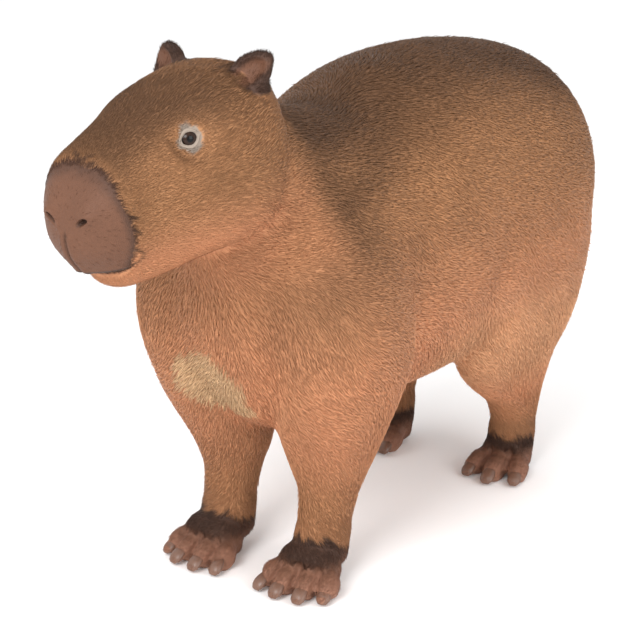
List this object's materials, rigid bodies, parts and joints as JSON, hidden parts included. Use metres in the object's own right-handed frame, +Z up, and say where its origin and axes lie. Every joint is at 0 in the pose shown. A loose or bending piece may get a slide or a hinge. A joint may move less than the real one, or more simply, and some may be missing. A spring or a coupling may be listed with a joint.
{
  "type": "capybara",
  "caption": "Life-size model of a standing capybara, a large short-legged rodent with a blunt muzzle, small round ears and a short smooth coat",
  "frame": {"origin": "On the floor, under the middle of the animal's box", "axes": "+Z up, the head looks along -Y, +X is the animal's left side"},
  "size_m": [0.3734, 0.921, 0.6366],
  "materials": {
    "coat": "short reddish tan coat",
    "dark_skin": "dark brown bare or thinly haired skin",
    "eye": "wet gloss"
  },
  "bodies": {
    "root": {"torso": "coat", "neck": "coat", "head": "coat", "ear_left": "dark_skin", "ear_right": "dark_skin", "eye_left": "eye", "eye_right": "eye", "front_leg_left": "coat", "front_leg_right": "coat", "front_foot_left": "dark_skin", "front_foot_right": "dark_skin", "hind_leg_left": "coat", "hind_leg_right": "coat", "hind_foot_left": "dark_skin", "hind_foot_right": "dark_skin"}
  },
  "joints": []
}
